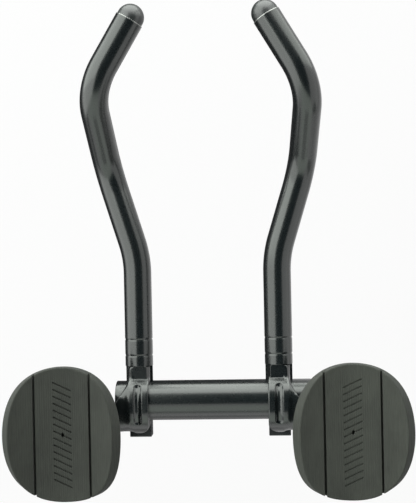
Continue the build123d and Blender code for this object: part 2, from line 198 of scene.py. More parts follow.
class StageSettings(bpy.types.PropertyGroup):
    """Camera, lamps and floor."""

    camera: point("Camera", "Place of the camera", (0.062302, 0.126946, 0.919931))
    target: point("Target", "What the camera looks at", (0.001172, 0.119294, 0))
    roll: tilt("Roll", "Turn of the camera", -1.15)
    lens: bpy.props.FloatProperty(
        name="Lens", description="Focal length", default=81.96, unit="CAMERA", subtype="DISTANCE_CAMERA"
    )
    floor_drop: length("Floor drop", "From the bar's axis to the floor", 0.4)
    front_lamp: power("Front lamp", "Softbox in front", 19.1)
    left_lamp: power("Left lamp", "Softbox on the left", 9.0)
    fill_lamp: power("Fill lamp", "Fill with a grid", 0.08)
    ambient: bpy.props.FloatProperty(name="Ambient", description="Soft light from all round", default=0.3)


def add_node(tree, kind, inputs=None, **settings):
    """Add a node, set its options, and give each input a value or a link.

    A node that is given as a value stands for its first output.
    """
    node = tree.nodes.new(kind)
    for name, value in settings.items():
        setattr(node, name, value)
    for name, value in (inputs or {}).items():
        if isinstance(value, bpy.types.Node):
            value = value.outputs[0]
        if isinstance(value, bpy.types.NodeSocket):
            tree.links.new(value, node.inputs[name])
        else:
            node.inputs[name].default_value = value
    return node


def new_material(name):
    """An empty procedural material and its tree."""
    material = bpy.data.materials.new(name)
    material.use_nodes = True
    material.node_tree.nodes.clear()
    return material, material.node_tree


def rgba(values):
    """A colour property with full opacity."""
    return (*values, 1)


def clear_coated_enamel(name, finishes, peel, coat_roughness):
    """Black enamel under clear lacquer: deep black, sharp reflections and a faint orange peel.

    peel is the width of the orange peel's dimples in metres. The alloy shows where the mesh's bare_metal
    attribute is 1, because the paint is cut away there.
    """
    material, tree = new_material(name)
    place = add_node(tree, "ShaderNodeTexCoord").outputs["Object"]
    dimples = add_node(tree, "ShaderNodeTexNoise", {"Vector": place, "Scale": 1 / peel, "Detail": 1})
    surface = add_node(
        tree, "ShaderNodeBump", {"Height": dimples, "Strength": 0.12, "Distance": 0.03 * MM}
    )
    paint_roughness = 0.26
    # Handling marks, about 12 mm across, dull the paint under the lacquer here and there.
    marks = add_node(
        tree,
        "ShaderNodeTexNoise",
        {"Vector": place, "Scale": 1 / (12 * MM), "Detail": 4, "Roughness": 0.6},
    )
    dulled = add_node(
        tree,
        "ShaderNodeMapRange",
        {
            "Value": marks,
            "From Min": 0.35,
            "From Max": 0.7,
            "To Min": paint_roughness,
            "To Max": paint_roughness + 0.03,
        },
    )
    bare = add_node(tree, "ShaderNodeAttribute", attribute_name="bare_metal").outputs["Fac"]
    tone = add_node(
        tree,
        "ShaderNodeMix",
        {0: bare, 6: rgba(finishes.enamel), 7: rgba(finishes.alloy)},
        data_type="RGBA",
    )
    shader = add_node(
        tree,
        "ShaderNodeBsdfPrincipled",
        {
            "Base Color": tone.outputs[2],
            "Metallic": bare,
            "Roughness": dulled,
            "IOR": 1.5,
            "Specular Tint": rgba(linear("#F3FAF3")),
            "Coat Weight": 1.0,
            "Coat Roughness": coat_roughness,
            "Coat IOR": 1.5,
            "Normal": surface,
            "Coat Normal": surface,
        },
    )
    add_node(tree, "ShaderNodeOutputMaterial", {"Surface": shader})
    return material


def moulded_plastic(name, base, grain, depth, roughness, shine):
    """Injection-moulded plastic: even black with the fine spark grain of its mould.

    grain is the width of the grain in metres, depth its depth, and shine the strength of its gloss.
    """
    material, tree = new_material(name)
    place = add_node(tree, "ShaderNodeTexCoord").outputs["Object"]
    spark = add_node(tree, "ShaderNodeTexVoronoi", {"Vector": place, "Scale": 1 / grain}, feature="F1")
    surface = add_node(tree, "ShaderNodeBump", {"Height": spark, "Strength": 0.4, "Distance": depth})
    flow = add_node(tree, "ShaderNodeTexNoise", {"Vector": place, "Scale": 1 / (18 * MM), "Detail": 3})
    shade = add_node(
        tree,
        "ShaderNodeMix",
        {0: flow, 6: rgba(base), 7: rgba([1.5 * c for c in base])},
        data_type="RGBA",
    )
    shader = add_node(
        tree,
        "ShaderNodeBsdfPrincipled",
        {
            "Base Color": shade.outputs[2],
            "Roughness": roughness,
            "IOR": 1.5,
            "Specular IOR Level": shine,
            "Normal": surface,
        },
    )
    add_node(tree, "ShaderNodeOutputMaterial", {"Surface": shader})
    return material


def black_oxide_steel(base):
    """Alloy steel with a black oxide skin: dark grey metal, slightly oily and mottled."""
    material, tree = new_material("black_oxide_steel")
    place = add_node(tree, "ShaderNodeTexCoord").outputs["Object"]
    mottle = add_node(
        tree,
        "ShaderNodeTexNoise",
        {"Vector": place, "Scale": 1 / (1.5 * MM), "Detail": 5, "Roughness": 0.65},
    )
    shade = add_node(
        tree,
        "ShaderNodeMix",
        {0: mottle, 6: rgba([0.6 * c for c in base]), 7: rgba([1.6 * c for c in base])},
        data_type="RGBA",
    )
    worn = add_node(
        tree,
        "ShaderNodeMapRange",
        {"Value": mottle, "From Min": 0.3, "From Max": 0.7, "To Min": 0.28, "To Max": 0.45},
    )
    shader = add_node(
        tree,
        "ShaderNodeBsdfPrincipled",
        {"Base Color": shade.outputs[2], "Metallic": 1.0, "Roughness": worn},
    )
    add_node(tree, "ShaderNodeOutputMaterial", {"Surface": shader})
    return material


def hook_and_loop_tape(base):
    """Black fastening tape: a pile of fine loops that scatters light and has a soft sheen."""
    material, tree = new_material("hook_and_loop_tape")
    place = add_node(tree, "ShaderNodeTexCoord").outputs["Object"]
    # Real loops are about 0.3 mm wide. They are drawn at 0.6 mm, so that they show.
    loops = add_node(tree, "ShaderNodeTexVoronoi", {"Vector": place, "Scale": 1 / (0.6 * MM)})
    surface = add_node(tree, "ShaderNodeBump", {"Height": loops, "Strength": 0.9, "Distance": 0.3 * MM})
    shade = add_node(
        tree,
        "ShaderNodeMix",
        {0: loops, 6: rgba([1.8 * c for c in base]), 7: rgba(base)},
        data_type="RGBA",
    )
    shader = add_node(
        tree,
        "ShaderNodeBsdfPrincipled",
        {
            "Base Color": shade.outputs[2],
            "Roughness": 0.95,
            "Sheen Weight": 0.4,
            "Sheen Roughness": 0.5,
            "Normal": surface,
        },
    )
    add_node(tree, "ShaderNodeOutputMaterial", {"Surface": shader})
    return material


def moulded_eva_foam(base):
    """Closed-cell EVA foam with a moulded skin: matt charcoal, finely pitted and slightly cloudy."""
    material, tree = new_material("moulded_eva_foam")
    place = add_node(tree, "ShaderNodeTexCoord").outputs["Object"]
    # Cells of 0.25 mm are too fine for the picture, so the pits are drawn 0.7 mm wide.
    pits = add_node(tree, "ShaderNodeTexVoronoi", {"Vector": place, "Scale": 1 / (0.7 * MM)})
    # The skin was drawn lengthwise in its mould, so its grain runs in streaks.
    drawn = add_node(tree, "ShaderNodeMapping", {"Vector": place, "Scale": (1, 0.07, 1)})
    grain = add_node(
        tree,
        "ShaderNodeTexNoise",
        {"Vector": drawn, "Scale": 1 / (0.9 * MM), "Detail": 3, "Roughness": 0.7},
    )
    clouds = add_node(
        tree,
        "ShaderNodeTexNoise",
        {"Vector": place, "Scale": 1 / (25 * MM), "Detail": 3, "Roughness": 0.5},
    )
    speckle = add_node(tree, "ShaderNodeMath", {0: grain, 1: clouds}, operation="ADD")
    contrast = add_node(tree, "ShaderNodeMapRange", {"Value": speckle, "From Min": 0.6, "From Max": 1.4})
    shade = add_node(
        tree,
        "ShaderNodeMix",
        {0: contrast, 6: rgba([0.72 * c for c in base]), 7: rgba([1.28 * c for c in base])},
        data_type="RGBA",
    )
    pitted = add_node(tree, "ShaderNodeBump", {"Height": pits, "Strength": 0.35, "Distance": 0.08 * MM})
    # The mould was milled lengthwise and left fine lines 1.7 mm apart.
    line_pitch = 1.7 * MM
    lines = add_node(
        tree,
        "ShaderNodeTexWave",
        {"Vector": place, "Scale": math.pi / (10 * line_pitch), "Distortion": 0.0},
    )
    surface = add_node(
        tree,
        "ShaderNodeBump",
        {"Height": lines.outputs["Fac"], "Strength": 0.8, "Distance": 0.08 * MM, "Normal": pitted},
    )
    shader = add_node(
        tree,
        "ShaderNodeBsdfPrincipled",
        {
            "Base Color": shade.outputs[2],
            "Roughness": 0.82,
            "IOR": 1.45,
            "Specular IOR Level": 0.3,
            "Sheen Weight": 0.08,
            "Sheen Roughness": 0.6,
            "Normal": surface,
        },
    )
    add_node(tree, "ShaderNodeOutputMaterial", {"Surface": shader})
    return material


def new_piece(name, mesh):
    """Put a mesh into the scene under its own name."""
    piece = bpy.data.objects.new(name, mesh)
    bpy.context.scene.collection.objects.link(piece)
    return piece


def settle(piece):
    """Turn a piece and its modifiers into a plain mesh."""
    bpy.context.view_layer.update()
    evaluated = piece.evaluated_get(bpy.context.evaluated_depsgraph_get())
    finished = bpy.data.meshes.new_from_object(evaluated)
    first = piece.data
    piece.modifiers.clear()
    piece.data = finished
    finished.name = piece.name
    bpy.data.meshes.remove(first)
    return piece


def break_edges(piece, width, segments, sharpness):
    """Bevel the edges of a piece that are sharper than an angle in degrees."""
    bevel = piece.modifiers.new("edges", "BEVEL")
    bevel.width = width
    bevel.segments = segments
    bevel.limit_method = "ANGLE"
    bevel.angle_limit = math.radians(sharpness)
    return bevel


def opened(mesh):
    """A mesh as a shape to work on."""
    shape = bmesh.new()
    shape.from_mesh(mesh)
    return shape


def written(shape, mesh):
    """Put a worked shape into a mesh, with smooth faces."""
    for face in shape.faces:
        face.smooth = True
    shape.to_mesh(mesh)
    shape.free()
    return mesh


def hand_over(piece, slot, *nodes):
    """Fix a piece to the frame in place of its CAD nodes."""
    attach(piece, BODY)
    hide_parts(*nodes)


def add_geometry_nodes(piece, tree, values):
    """Give a piece a node tree, with values for the tree's named inputs."""
    modifier = piece.modifiers.new(tree.name, "NODES")
    modifier.node_group = tree
    for item in tree.interface.items_tree:
        if item.in_out == "INPUT" and item.name in values:
            modifier[item.identifier] = values[item.name]


def new_geometry_tree(name, inputs):
    """A geometry tree with the given named inputs, and the sockets that give their values."""
    tree = bpy.data.node_groups.new(name, "GeometryNodeTree")
    tree.interface.new_socket("Geometry", in_out="INPUT", socket_type="NodeSocketGeometry")
    for socket_name, kind in inputs.items():
        tree.interface.new_socket(socket_name, in_out="INPUT", socket_type=f"NodeSocket{kind}")
    tree.interface.new_socket("Geometry", in_out="OUTPUT", socket_type="NodeSocketGeometry")
    return tree, add_node(tree, "NodeGroupInput").outputs


def finish_tree(tree, geometry, material):
    """End a tree in plain geometry with its material."""
    realized = add_node(tree, "GeometryNodeRealizeInstances", {"Geometry": geometry})
    dressed = add_node(tree, "GeometryNodeSetMaterial", {"Geometry": realized, "Material": material})
    add_node(tree, "NodeGroupOutput", {"Geometry": dressed})


def swept_tube_tree():
    """Tree that rounds a route's corners and sweeps a tube along it, with two ring marks."""
    tree, given = new_geometry_tree(
        "swept_tube",
        {
            "Radius": "Float",
            "Step": "Float",
            "Segments": "Int",
            "First mark": "Float",
            "Second mark": "Float",
            "Mark width": "Float",
            "Mark depth": "Float",
            "Material": "Material",
        },
    )
    route = add_node(tree, "GeometryNodeMeshToCurve", {"Mesh": given["Geometry"]})
    bends = add_node(tree, "GeometryNodeInputNamedAttribute", {"Name": "bend_radius"}, data_type="FLOAT")
    bent = add_node(
        tree, "GeometryNodeFilletCurve", {"Curve": route, "Count": 40, "Radius": bends}, mode="POLY"
    )
    stations = add_node(
        tree, "GeometryNodeResampleCurve", {"Curve": bent, "Length": given["Step"]}, mode="LENGTH"
    )
    along = add_node(tree, "GeometryNodeSplineParameter").outputs["Length"]
    half_mark = add_node(tree, "ShaderNodeMath", {0: given["Mark width"], 1: 0.5}, operation="MULTIPLY")
    radius = given["Radius"]
    for mark in ("First mark", "Second mark"):
        away = add_node(tree, "ShaderNodeMath", {0: along, 1: given[mark]}, operation="SUBTRACT")
        distance = add_node(tree, "ShaderNodeMath", {0: away}, operation="ABSOLUTE")
        cut = add_node(
            tree,
            "ShaderNodeMapRange",
            {
                "Value": distance,
                "From Min": half_mark,
                "From Max": given["Mark width"],
                "To Min": given["Mark depth"],
                "To Max": 0.0,
            },
            interpolation_type="SMOOTHSTEP",
        )
        radius = add_node(tree, "ShaderNodeMath", {0: radius, 1: cut}, operation="SUBTRACT")
    section = add_node(
        tree, "GeometryNodeCurvePrimitiveCircle", {"Resolution": given["Segments"], "Radius": 1.0}
    )
    skin = add_node(
        tree, "GeometryNodeCurveToMesh", {"Curve": stations, "Profile Curve": section, "Scale": radius}
    )
    smooth = add_node(tree, "GeometryNodeSetShadeSmooth", {"Geometry": skin})
    finish_tree(tree, smooth, given["Material"])
    return tree


def route_mesh(name, corners, bend_radii):
    """A chain of edges with a bend radius at each corner."""
    mesh = bpy.data.meshes.new(name)
    mesh.from_pydata(corners, [(i, i + 1) for i in range(len(corners) - 1)], [])
    mesh.attributes.new("bend_radius", "FLOAT", "POINT").data.foreach_set("value", bend_radii)
    return mesh


def give_wall(piece, wall, edge):
    """Thicken a tube's skin inwards and break the edges of its ends."""
    shell = piece.modifiers.new("wall", "SOLIDIFY")
    shell.thickness = wall
    shell.offset = -1
    shell.use_rim = True
    break_edges(piece, edge, segments=2, sharpness=60)


def bare_front_edge(tube, crest, tip, sizes):
    """Widen the broken edge at a tube's front end and mark it as bare metal.

    The skin behind the edge is pushed together over a length of twice the wide edge.
    """
    ahead = (tip - crest).normalized()
    radius = sizes.tube_diameter / 2
    edge = sizes.tube_edge
    wide = sizes.front_edge
    widening = wide / edge
    squeeze = wide / (2 * wide - edge)
    reach = 1.1 * edge
    shine = []
    for vert in tube.data.vertices:
        behind = (tip - vert.co).dot(ahead)
        out = vert.co - tip + behind * ahead
        drop = radius - out.length
        near_skin = -edge < behind < 2 * wide and drop < reach
        on_edge = near_skin and behind < reach
        if on_edge:
            vert.co = tip - widening * behind * ahead + out.normalized() * (radius - widening * drop)
        elif near_skin:
            vert.co += (behind - wide - squeeze * (behind - edge)) * ahead
        shine.append(1.0 if on_edge else 0.0)
    tube.data.attributes.new("bare_metal", "FLOAT", "POINT").data.foreach_set("value", shine)


def join_rings(shape, rings):
    """Close the surface between rings of points; a ring of one point is a tip."""
    count = max(len(ring) for ring in rings)
    for near, far in zip(rings, rings[1:]):
        for i in range(count):
            j = (i + 1) % count
            corners = [near[i % len(near)], near[j % len(near)], far[j % len(far)], far[i % len(far)]]
            shape.faces.new(list(dict.fromkeys(corners)))


def turned_mesh(name, profile, start, direction, count):
    """Mesh of a turned piece: profile is a list of radius and distance along the axis, from tip to tip."""
    turn = Vector((0, 0, 1)).rotation_difference(direction).to_matrix()
    shape = bmesh.new()
    rings = []
    for radius, distance in profile:
        if radius == 0:
            rings.append([shape.verts.new(start + turn @ Vector((0, 0, distance)))])
            continue
        ring = []
        for i in range(count):
            angle = 2 * math.pi * i / count
            across = Vector((radius * math.cos(angle), radius * math.sin(angle), distance))
            ring.append(shape.verts.new(start + turn @ across))
        rings.append(ring)
    join_rings(shape, rings)
    bmesh.ops.recalc_face_normals(shape, faces=shape.faces)
    return written(shape, bpy.data.meshes.new(name))


def merged_copy(node, material):
    """Copy a CAD node's mesh, merge its loose triangles, and give the open shape and its mesh."""
    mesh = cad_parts[node].data.copy()
    mesh.attributes.remove(mesh.attributes["custom_normal"])
    mesh.materials.clear()
    mesh.materials.append(material)
    shape = opened(mesh)
    bmesh.ops.remove_doubles(shape, verts=shape.verts, dist=0.001 * MM)
    return shape, mesh


def dressed_copy(node, name, material, edge, sharpness):
    """Copy a CAD node's mesh and round its sharp edges."""
    shape, mesh = merged_copy(node, material)
    bmesh.ops.dissolve_limit(shape, angle_limit=math.radians(0.3), verts=shape.verts, edges=shape.edges)
    piece = new_piece(name, written(shape, mesh))
    break_edges(piece, edge, segments=3, sharpness=sharpness).harden_normals = True
    return settle(piece)


def forged_copy(node, name, material, sizes):
    """Copy an upper clamp's CAD mesh in fine cells and blend its wing into its saddle."""
    shape, mesh = merged_copy(node, material)
    piece = new_piece(name, written(shape, mesh))
    cells = piece.modifiers.new("cells", "REMESH")
    cells.mode = "VOXEL"
    cells.voxel_size = sizes.cell
    settle(piece)
    shape = opened(piece.data)
    # The tongue's crown is milled down to a flat that ends where the saddle rises.
    for vert in shape.verts:
        saddle_top = math.sqrt(max(sizes.saddle_radius**2 - vert.co.y**2, 0))
        if vert.co.y > 0:
            vert.co.z = min(vert.co.z, max(sizes.tongue, saddle_top))
    bmesh.ops.remove_doubles(shape, verts=shape.verts, dist=0.1 * MM)
    joint = []
    for vert in shape.verts:
        behind = max(vert.co.y, 0, -sizes.stretch - vert.co.y)
        outside = math.hypot(behind, vert.co.z) > sizes.saddle_radius - sizes.skin
        near_seam = abs(abs(vert.co.x) - sizes.seam) < sizes.blend
        if outside and near_seam and vert.co.z > sizes.saddle_radius / 3:
            joint.append(vert)
    for verts, passes in ((shape.verts, sizes.polish), (joint, sizes.passes)):
        for _ in range(passes):
            bmesh.ops.smooth_vert(
                shape, verts=verts, factor=0.5, use_axis_x=True, use_axis_y=True, use_axis_z=True
            )
    written(shape, piece.data)
    return piece


class AERO_OT_cross_bar(bpy.types.Operator):
    """Sweep the short cross bar that ties both extensions together"""

    bl_idname = "aero.cross_bar"
    bl_label = "Cross bar"

    def execute(self, context):
        sizes = context.scene.aero_tubes
        finishes = context.scene.aero_finishes
        enamel = clear_coated_enamel("bar_enamel", finishes, peel=1.6 * MM, coat_roughness=0.2)
        ends = [(BAR_LOW.x, 0, 0), (BAR_HIGH.x, 0, 0)]
        bar = new_piece("cross_bar_tube", route_mesh("bar_route", ends, [0, 0]))
        add_geometry_nodes(
            bar,
            swept_tube_tree(),
            {
                "Radius": sizes.bar_diameter / 2,
                "Step": 4 * MM,
                "Segments": 96,
                "Mark depth": 0.0,
                "Mark width": sizes.mark_width,
                "Material": enamel,
            },
        )
        give_wall(bar, sizes.bar_wall, sizes.bar_edge)
        hand_over(settle(bar), "black_painted_bar", "cross_bar")
        return {"FINISHED"}


class AERO_OT_extension_tubes(bpy.types.Operator):
    """Sweep the two bent extension tubes"""

    bl_idname = "aero.extension_tubes"
    bl_label = "Extension tubes"

    def execute(self, context):
        sizes = context.scene.aero_tubes
        finishes = context.scene.aero_finishes
        enamel = clear_coated_enamel("tube_enamel", finishes, peel=1.6 * MM, coat_roughness=0.2)
        tree = swept_tube_tree()
        corners = [Vector(c) for c in (sizes.rear, sizes.splay, sizes.rise, sizes.crest, sizes.tip)]
        radii = [0, sizes.splay_radius, sizes.rise_radius, sizes.crest_radius, 0]
        for side, sign in SIDES:
            route = [(sign * corner.x, corner.y, corner.z) for corner in corners]
            tube = new_piece(f"{side}_bent_tube", route_mesh(f"{side}_route", route, radii))
            add_geometry_nodes(
                tube,
                tree,
                {
                    "Radius": sizes.tube_diameter / 2,
                    "Step": 0.5 * MM,
                    "Segments": 48,
                    "First mark": sizes.first_mark,
                    "Second mark": sizes.second_mark,
                    "Mark width": sizes.mark_width,
                    "Mark depth": sizes.mark_depth,
                    "Material": enamel,
                },
            )
            give_wall(tube, sizes.tube_wall, sizes.tube_edge)
            bare_front_edge(settle(tube), Vector(route[-2]), Vector(route[-1]), sizes)
            hand_over(tube, "black_anodised_tube", f"{side}_extension_tube")
        return {"FINISHED"}


class AERO_OT_end_plugs(bpy.types.Operator):
    """Turn the domed plugs in the front ends of the tubes"""

    bl_idname = "aero.end_plugs"
    bl_label = "End plugs"

    def execute(self, context):
        sizes = context.scene.aero_tubes
        black = context.scene.aero_finishes.plug
        plastic = moulded_plastic(
            "plug_plastic", black, grain=0.5 * MM, depth=0.005 * MM, roughness=0.35, shine=1.0
        )
        dome = sizes.plug_radius
        break_edge = sizes.tube_edge
        profile = [
            (0, -sizes.plug_depth),
            (sizes.plug_stem - break_edge, -sizes.plug_depth),
            (sizes.plug_stem, break_edge - sizes.plug_depth),
            (sizes.plug_stem, 0),
            (dome - break_edge, 0),
            (dome, break_edge),
            (dome, sizes.plug_shoulder),
        ]
        steps = 24
        for i in range(1, steps):
            angle = math.pi / 2 * i / steps
            profile.append((dome * math.cos(angle), sizes.plug_shoulder + dome * math.sin(angle)))
        profile.append((0, sizes.plug_shoulder + dome))
        for side, sign in SIDES:
            tip = Vector((sign * sizes.tip[0], *sizes.tip[1:]))
            crest = Vector((sign * sizes.crest[0], *sizes.crest[1:]))
            plug = new_piece(
                f"{side}_domed_plug",
                turned_mesh(f"{side}_domed_plug", profile, tip, (tip - crest).normalized(), count=64),
            )
            plug.data.materials.append(plastic)
            plug.data.set_sharp_from_angle(angle=math.radians(40))
            hand_over(plug, "black_plug", f"{side}_extension_plug")
        return {"FINISHED"}


class AERO_OT_clamps(bpy.types.Operator):
    """Dress the forged clamp halves with blended and rounded edges"""

    bl_idname = "aero.clamps"
    bl_label = "Clamps"

    def execute(self, context):
        sizes = context.scene.aero_clamps
        finishes = context.scene.aero_finishes
        enamel = clear_coated_enamel("clamp_enamel", finishes, peel=1.2 * MM, coat_roughness=0.18)
        for side, _ in SIDES:
            upper = forged_copy(f"{side}_upper_clamp", f"{side}_upper_forging", enamel, sizes)
            hand_over(upper, "black_painted_clamp", f"{side}_upper_clamp")
            lower = dressed_copy(
                f"{side}_lower_clamp", f"{side}_lower_forging", enamel, sizes.lower_edge, sharpness=24
            )
            hand_over(lower, "black_painted_clamp", f"{side}_lower_clamp")
        return {"FINISHED"}


def socket_screw_tree():
    """Tree that sets a knurled socket screw on each point, with its head below the point."""
    tree, given = new_geometry_tree(
        "socket_screws",
        {
            "Head radius": "Float",
            "Head height": "Float",
            "Hex radius": "Float",
            "Hex depth": "Float",
            "Shank radius": "Float",
            "Shank length": "Float",
            "Knurl depth": "Float",
            "Material": "Material",
        },
    )
    head = add_node(
        tree,
        "GeometryNodeMeshCylinder",
        {"Vertices": 96, "Radius": given["Head radius"], "Depth": given["Head height"]},
    )
    # Every third corner of the head stands in by the knurl's depth.
    index = add_node(tree, "GeometryNodeInputIndex")
    third = add_node(tree, "ShaderNodeMath", {0: index, 1: 3}, operation="MODULO")
    low = add_node(tree, "ShaderNodeMath", {0: third, 1: 0.5}, operation="LESS_THAN")
    outwards = add_node(tree, "GeometryNodeInputPosition")
    flat = add_node(tree, "ShaderNodeVectorMath", {0: outwards, 1: (1, 1, 0)}, operation="MULTIPLY")
    radial = add_node(tree, "ShaderNodeVectorMath", {0: flat}, operation="NORMALIZE")
    inward = add_node(tree, "ShaderNodeMath", {0: given["Knurl depth"], 1: -1.0}, operation="MULTIPLY")
    step = add_node(tree, "ShaderNodeVectorMath", {0: radial, "Scale": inward}, operation="SCALE")
    knurled = add_node(
        tree, "GeometryNodeSetPosition", {"Geometry": head, "Selection": low, "Offset": step}
    )
    double_depth = add_node(tree, "ShaderNodeMath", {0: given["Hex depth"], 1: 2.0}, operation="MULTIPLY")
    key = add_node(
        tree,
        "GeometryNodeMeshCylinder",
        {"Vertices": 6, "Radius": given["Hex radius"], "Depth": double_depth},
    )
    shank = add_node(
        tree,
        "GeometryNodeMeshCylinder",
        {"Vertices": 48, "Radius": given["Shank radius"], "Depth": given["Shank length"]},
    )
    # Each part is moved up or down by a share of a height.
    seated = []
    for part, height, share in (
        (knurled, given["Head height"], -0.5),
        (key, given["Head height"], -1.0),
        (shank, given["Shank length"], 0.5),
    ):
        rise = add_node(tree, "ShaderNodeMath", {0: height, 1: share}, operation="MULTIPLY")
        place = add_node(tree, "ShaderNodeCombineXYZ", {"Z": rise})
        seated.append(add_node(tree, "GeometryNodeTransform", {"Geometry": part, "Translation": place}))
    low_head, low_key, raised_shank = seated
    socketed = add_node(
        tree,
        "GeometryNodeMeshBoolean",
        {"Mesh 1": low_head, "Mesh 2": low_key},
        operation="DIFFERENCE",
        solver="EXACT",
    )
    whole = add_node(tree, "GeometryNodeJoinGeometry")
    tree.links.new(socketed.outputs["Mesh"], whole.inputs["Geometry"])
    tree.links.new(raised_shank.outputs["Geometry"], whole.inputs["Geometry"])
    screws = add_node(
        tree, "GeometryNodeInstanceOnPoints", {"Points": given["Geometry"], "Instance": whole}
    )
    finish_tree(tree, screws, given["Material"])
    return tree


class AERO_OT_fasteners(bpy.types.Operator):
    """Set the clamp screws, and finish washers and rest screws"""

    bl_idname = "aero.fasteners"
    bl_label = "Fasteners"

    def execute(self, context):
        sizes = context.scene.aero_screws
        steel = black_oxide_steel(context.scene.aero_finishes.steel)
        tree = socket_screw_tree()
        for place in ("front", "rear"):
            nodes = [f"{side}_{place}_clamp_bolt" for side, _ in SIDES]
            seats = []
            for node in nodes:
                low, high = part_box(node)
                seats.append(((low.x + high.x) / 2, (low.y + high.y) / 2, low.z + sizes.head_height))
            points = bpy.data.meshes.new(f"{place}_seats")
            points.from_pydata(seats, [], [])
            screws = new_piece(f"{place}_socket_screws", points)
            add_geometry_nodes(
                screws,
                tree,
                {
                    "Head radius": sizes.head_diameter / 2,
                    "Head height": sizes.head_height,
                    "Hex radius": sizes.hex_key / math.sqrt(3),
                    "Hex depth": sizes.hex_depth,
                    "Shank radius": sizes.shank_diameter / 2,
                    "Shank length": high.z - seats[-1][2],
                    "Knurl depth": sizes.knurl_depth,
                    "Material": steel,
                },
            )
            break_edges(screws, sizes.screw_edge, segments=2, sharpness=75)
            hand_over(settle(screws), "blackened_steel", *nodes)
        for side, _ in SIDES:
            for node in ("front_clamp_washer", "rear_clamp_washer", "armrest_washers", "armrest_screws"):
                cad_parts[f"{side}_{node}"].material_slots[0].material = steel
        return {"FINISHED"}


class AERO_OT_rest_trays(bpy.types.Operator):
    """Dress the moulded trays and their hook and loop patches"""

    bl_idname = "aero.rest_trays"
    bl_label = "Rest trays"

    def execute(self, context):
        finishes = context.scene.aero_finishes
        nylon = moulded_plastic(
            "tray_nylon", finishes.nylon, grain=0.6 * MM, depth=0.03 * MM, roughness=0.5, shine=0.5
        )
        tape = hook_and_loop_tape(finishes.tape)
        for side, _ in SIDES:
            tray = dressed_copy(
                f"{side}_armrest_tray", f"{side}_moulded_tray", nylon, edge=0.6 * MM, sharpness=30
            )
            hand_over(tray, "black_nylon", f"{side}_armrest_tray")
            for patch in ("hook_patch", "loop_patch"):
                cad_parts[f"{side}_{patch}"].material_slots[0].material = tape
        return {"FINISHED"}


def pad_outline(count):
    """Points round the pad's oval, as shares of half its width and length; its inner side is at -1."""
    # Side, end and roundness of each quarter
    quarters = ((1, 1, 0.552), (-1, 1, 0.52), (-1, -1, 0.64), (1, -1, 0.552))
    steps = count // 4
    outline = []
    for side, end, corner in quarters:
        for i in range(steps):
            t = i / steps if side == end else 1 - i / steps
            u = 1 - t
            across = u**3 + 3 * u * u * t + 3 * u * t * t * corner
            along = t**3 + 3 * u * t * t + 3 * u * u * t * corner
            outline.append((side * across, end * along))
    return outline


def pad_layers(sizes):
    """Rings of the pad from the middle of its face over the edge to the middle of its back.

    Each is a share of the outline's size and a depth under the face.
    """
    inset = 2 * sizes.edge / sizes.width
    layers = [(0, 0)]
    face_rings = 64
    layers += [((1 - inset) * i / face_rings, 0) for i in range(1, face_rings)]
    turns = 8
    for i in range(turns + 1):
        angle = math.pi / 2 * i / turns
        layers.append((1 - inset + inset * math.sin(angle), sizes.edge * (1 - math.cos(angle))))
    wall = sizes.thickness - 2 * sizes.edge
    layers += [(1, sizes.edge + wall * i / 6) for i in range(1, 6)]
    for i in range(turns + 1):
        angle = math.pi / 2 * i / turns
        depth = sizes.thickness - sizes.edge * (1 - math.sin(angle))
        layers.append((1 - inset + inset * math.cos(angle), depth))
    back_rings = 16
    layers += [((1 - inset) * i / back_rings, sizes.thickness) for i in range(back_rings - 1, 0, -1)]
    layers.append((0, sizes.thickness))
    return layers


def pad_mesh(name, sizes, sign):
    """The foam slab with its soft edge and two deep bending grooves."""
    centre = Vector((sign * sizes.centre[0], *sizes.centre[1:]))
    spread = math.tan(math.asin(sizes.width / 2 / (sizes.cup_radius + sizes.thickness)))
    outline = pad_outline(count=288)
    shape = bmesh.new()
    rings = []
    for share, depth in pad_layers(sizes):
        ring = []
        for across, along in outline if share else [(0, 0)]:
            angle = math.atan(share * across * spread)
            reach = sizes.cup_radius + depth
            endways = share * along * sizes.pad_length / 2
            offset = Vector((sign * reach * math.sin(angle), endways, -reach * math.cos(angle)))
            ring.append(shape.verts.new(centre + offset))
        rings.append(ring)
    join_rings(shape, rings)
    # Straight cuts along the grooves, so that their edges are clean lines.
    half_groove = sizes.groove_width / 2
    cuts = [half_groove + step * MM for step in (2.8, 1.8, 1, 0.4, 0.05, -0.05, -0.4, -0.8)]
    for side in (-1, 1):
        for cut in [0, *cuts, *[-cut for cut in cuts]]:
            at = centre + Vector((side * sizes.groove_offset + cut, 0, 0))
            everything = list(shape.verts) + list(shape.edges) + list(shape.faces)
            bmesh.ops.bisect_plane(shape, geom=everything, plane_co=at, plane_no=(1, 0, 0))
    for vert in shape.verts:
        across = vert.co.x - centre.x
        face_drop = math.sqrt(sizes.cup_radius**2 - across**2)
        back_drop = math.sqrt((sizes.cup_radius + sizes.thickness) ** 2 - across**2)
        share = (centre.z - vert.co.z - face_drop) / (back_drop - face_drop)
        gap = abs(abs(across) - sizes.groove_offset)
        sink = sizes.crown * math.exp(-((gap / sizes.crown_fade) ** 2))
        if gap < half_groove:
            sink = sizes.groove_depth - half_groove + math.sqrt(half_groove**2 - gap**2)
        vert.co.z -= sink * (1 - share)
    bmesh.ops.recalc_face_normals(shape, faces=shape.faces)
    return written(shape, bpy.data.meshes.new(name))


